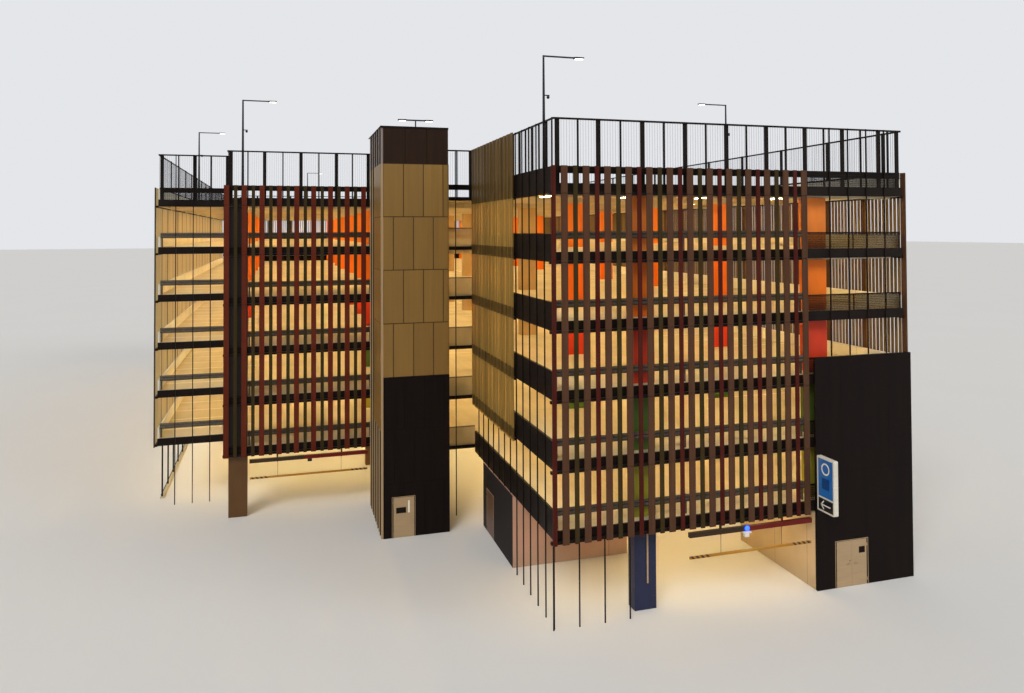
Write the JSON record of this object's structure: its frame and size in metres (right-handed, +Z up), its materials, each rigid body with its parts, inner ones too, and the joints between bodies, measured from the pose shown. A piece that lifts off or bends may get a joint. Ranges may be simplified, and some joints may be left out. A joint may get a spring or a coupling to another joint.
{
  "type": "scale model at 1:2 of a multi storey car park",
  "caption": "Open-deck multi storey car park with louvred fin screens, colour-coded columns, a bronze-clad stair tower, hinged doors and swinging height bars.",
  "frame": {"origin": "on the ground at the middle of the plan, the blade sign included", "axes": "+X to the right along the front, +Y from the front to the rear, +Z up"},
  "size_m": [17.55, 37.545, 11.75],
  "materials": {
    "concrete": "trowelled concrete",
    "navy_paint": "painted concrete, deep blue",
    "olive_paint": "painted concrete, olive yellow",
    "green_paint": "painted concrete, green",
    "red_paint": "painted concrete, red",
    "orange_paint": "painted concrete, orange",
    "light_orange_paint": "painted concrete, light orange",
    "black_steel": "satin black powder coat",
    "taupe_metal": "satin taupe powder coat",
    "red_olive_metal": "satin deep red and olive powder coat",
    "bronze_metal": "dull bronze sheet",
    "white_render": "painted concrete, white",
    "brown_cap": "satin dark brown panel",
    "beige_paint": "painted steel and plaster, beige",
    "brown_door": "painted steel, brown",
    "frosted_glass": "frosted",
    "sign_blue": "blue and black sign panels",
    "bar_stripes": "yellow and black paint",
    "beam_red": "dark red, yellow striped beam",
    "galvanised": "galvanised"
  },
  "bodies": {
    "building": {"parking_decks": "concrete", "roof_deck": "concrete", "ground_columns": "navy_paint", "level_1_columns": "olive_paint", "level_2_columns": "green_paint", "level_3_columns": "red_paint", "level_4_columns": "orange_paint", "level_5_columns": "light_orange_paint", "spandrel_bands": "black_steel", "deck_edges": "black_steel", "side_upstands": "white_render", "front_wide_fins": "taupe_metal", "front_narrow_fins": "red_olive_metal", "box_wide_fins": "red_olive_metal", "box_narrow_fins": "bronze_metal", "bronze_screen": "bronze_metal", "left_side_fins": "bronze_metal", "right_side_fins": "taupe_metal", "rear_fins": "taupe_metal", "facade_rods": "black_steel", "mesh_barriers": "black_steel", "guard_rails": "black_steel", "recess_glass": "frosted_glass", "tower_cap": "brown_cap", "tower_panels": "bronze_metal", "tower_base_cladding": "black_steel", "tower_ribs": "bronze_metal", "black_wall": "black_steel", "plant_room_walls": "beige_paint", "blade_sign": "sign_blue", "clearance_beams": "beam_red", "roof_lamps": "galvanised", "ground_kerb": "concrete", "screen_rails": "black_steel", "roof_fence_posts": "black_steel", "roof_fence_rails": "black_steel", "tower_walls": "brown_cap", "ground_room_walls": "beige_paint", "ground_fence": "black_steel"},
    "tower_door": {"tower_door": "beige_paint"},
    "plant_door_left": {"plant_door_left": "beige_paint"},
    "plant_door_right": {"plant_door_right": "beige_paint"},
    "room_door": {"room_door": "brown_door"},
    "near_height_bar": {"near_height_bar": "bar_stripes"},
    "left_height_bar": {"left_height_bar": "bar_stripes"}
  },
  "joints": [
    {"name": "tower_door_hinge", "type": "hinge", "parent": "building", "child": "tower_door", "pos_m": [-2.395, -12.5008, 0.5], "axis": [0, 0, -1], "range_deg": [0, 100]},
    {"name": "plant_door_left_hinge", "type": "hinge", "parent": "building", "child": "plant_door_left", "pos_m": [6.675, -18.2358, 0.5], "axis": [0, 0, -1], "range_deg": [0, 110]},
    {"name": "plant_door_right_hinge", "type": "hinge", "parent": "building", "child": "plant_door_right", "pos_m": [7.48, -18.2358, 0.5], "axis": [0, 0, 1], "range_deg": [0, 110]},
    {"name": "room_door_hinge", "type": "hinge", "parent": "building", "child": "room_door", "pos_m": [0.0567, -12.7175, 0.5], "axis": [0, 0, -1], "range_deg": [0, 100]},
    {"name": "near_bar_swing", "type": "hinge", "parent": "building", "child": "near_height_bar", "pos_m": [4.59, -18.1025, 1.4697], "axis": [1, 0, 0], "range_deg": [-40, 40]},
    {"name": "left_bar_swing", "type": "hinge", "parent": "building", "child": "left_height_bar", "pos_m": [-4.4125, -9.7325, 1.4697], "axis": [1, 0, 0], "range_deg": [-40, 40]}
  ]
}
